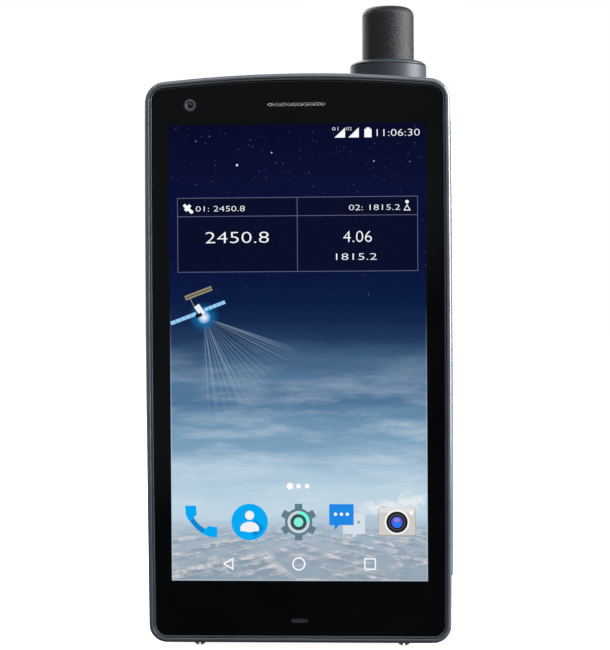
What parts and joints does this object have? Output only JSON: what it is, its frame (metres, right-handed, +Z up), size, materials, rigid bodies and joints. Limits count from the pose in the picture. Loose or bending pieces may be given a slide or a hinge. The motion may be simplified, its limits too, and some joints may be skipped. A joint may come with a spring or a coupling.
{
  "type": "satellite phone",
  "caption": "Flat hand-held touch-screen satellite phone with a pull-out stub antenna on a round collar, side rails with keys, a battery door and rubber port flaps.",
  "frame": {"origin": "middle of the bounding box's base, under the cover screws' heads", "axes": "+Z up along the phone towards the antenna, -Y out of the screen, +X to the right as seen from the front"},
  "size_m": [0.079, 0.024, 0.164],
  "materials": {
    "housing": "fine moulded texture",
    "slate_frame": "satin slate",
    "satin_rail": "satin",
    "key": "satin",
    "sos_key": "satin orange",
    "cover_glass": "polished",
    "display": "lit panel",
    "alloy": "die cast",
    "steel": "polished",
    "tin": "tinned sheet",
    "circuit_board": "solder mask",
    "battery_wrap": "printed wrap",
    "gold_contact": "plated",
    "radome": "fine grain",
    "collar": "smooth satin",
    "rubber": "matt",
    "clear_lens": "coated",
    "flash_diffuser": "frosted",
    "former": "moulded former"
  },
  "bodies": {
    "phone_body": {"front_bumper": "slate_frame", "glass_bezel": "housing", "cover_glass": "cover_glass", "display_gasket": "rubber", "display_panel": "display", "earpiece_mesh": "steel", "earpiece_receiver": "alloy", "front_camera_ring": "steel", "front_camera_module": "clear_lens", "microphone_boot": "rubber", "microphone": "gold_contact", "mid_chassis": "alloy", "main_board": "circuit_board", "modem_shield": "tin", "processor_shield": "tin", "lower_board": "circuit_board", "vibration_motor": "steel", "rear_camera_module": "housing", "loudspeaker": "housing", "rear_housing": "housing", "rear_camera_bezel": "steel", "rear_camera_window": "clear_lens", "flash_window": "flash_diffuser", "speaker_grille": "alloy", "battery": "battery_wrap", "battery_contacts": "gold_contact", "sim_socket_1": "tin", "sim_socket_2": "tin", "housing_screw_1": "steel", "housing_screw_2": "steel", "housing_screw_3": "steel", "housing_screw_4": "steel", "cover_gasket": "rubber", "side_rail_left": "satin_rail", "side_rail_right": "satin_rail", "key_switches_left": "gold_contact", "key_switches_right": "gold_contact", "antenna_guide": "steel", "antenna_seal": "rubber", "antenna_collar": "collar", "collar_ring": "collar", "antenna_contact": "gold_contact", "usb_socket": "steel", "headset_socket": "housing"},
    "antenna": {"antenna_radome": "radome", "antenna_core": "former", "antenna_foot": "steel"},
    "door": {"battery_cover": "housing"},
    "left_screw": {"cover_screw_left": "steel"},
    "right_screw": {"cover_screw_right": "steel"},
    "volume_up": {"volume_up_key": "key"},
    "volume_down": {"volume_down_key": "key"},
    "power": {"power_key": "key"},
    "sos": {"sos_key": "sos_key"},
    "camera": {"camera_key": "key"},
    "usb_cover": {"usb_flap": "rubber"},
    "jack_cover": {"jack_flap": "rubber"}
  },
  "joints": [
    {"name": "antenna_pull", "type": "slide", "parent": "phone_body", "child": "antenna", "axis": [0, 0, 1], "range_m": [0, 0.046]},
    {"name": "door_release", "type": "slide", "parent": "phone_body", "child": "door", "axis": [0, 1, 0], "range_m": [0, 0.02]},
    {"name": "left_screw_turn", "type": "hinge", "parent": "phone_body", "child": "left_screw", "pos_m": [-0.0263, -0.003, 0.0021], "axis": [0, 0, 1], "continuous": true},
    {"name": "right_screw_turn", "type": "hinge", "parent": "phone_body", "child": "right_screw", "pos_m": [0.0263, -0.003, 0.0021], "axis": [0, 0, 1], "continuous": true},
    {"name": "volume_up_press", "type": "slide", "parent": "phone_body", "child": "volume_up", "axis": [1, 0, 0], "range_m": [0, 0.0004], "stiffness_N_per_m": 3000},
    {"name": "volume_down_press", "type": "slide", "parent": "phone_body", "child": "volume_down", "axis": [1, 0, 0], "range_m": [0, 0.0004], "stiffness_N_per_m": 3000},
    {"name": "power_press", "type": "slide", "parent": "phone_body", "child": "power", "axis": [-1, 0, 0], "range_m": [0, 0.0004], "stiffness_N_per_m": 3000},
    {"name": "sos_press", "type": "slide", "parent": "phone_body", "child": "sos", "axis": [-1, 0, 0], "range_m": [0, 0.0004], "stiffness_N_per_m": 3000},
    {"name": "camera_press", "type": "slide", "parent": "phone_body", "child": "camera", "axis": [-1, 0, 0], "range_m": [0, 0.0004], "stiffness_N_per_m": 3000},
    {"name": "usb_flap_open", "type": "hinge", "parent": "phone_body", "child": "usb_cover", "pos_m": [-0.0103, -0.0031, 0.0021], "axis": [0, 1, 0], "range_deg": [0, 100]},
    {"name": "jack_flap_open", "type": "hinge", "parent": "phone_body", "child": "jack_cover", "pos_m": [-0.0215, 0.00225, 0.14502], "axis": [0, -1, 0], "range_deg": [0, 100]}
  ]
}
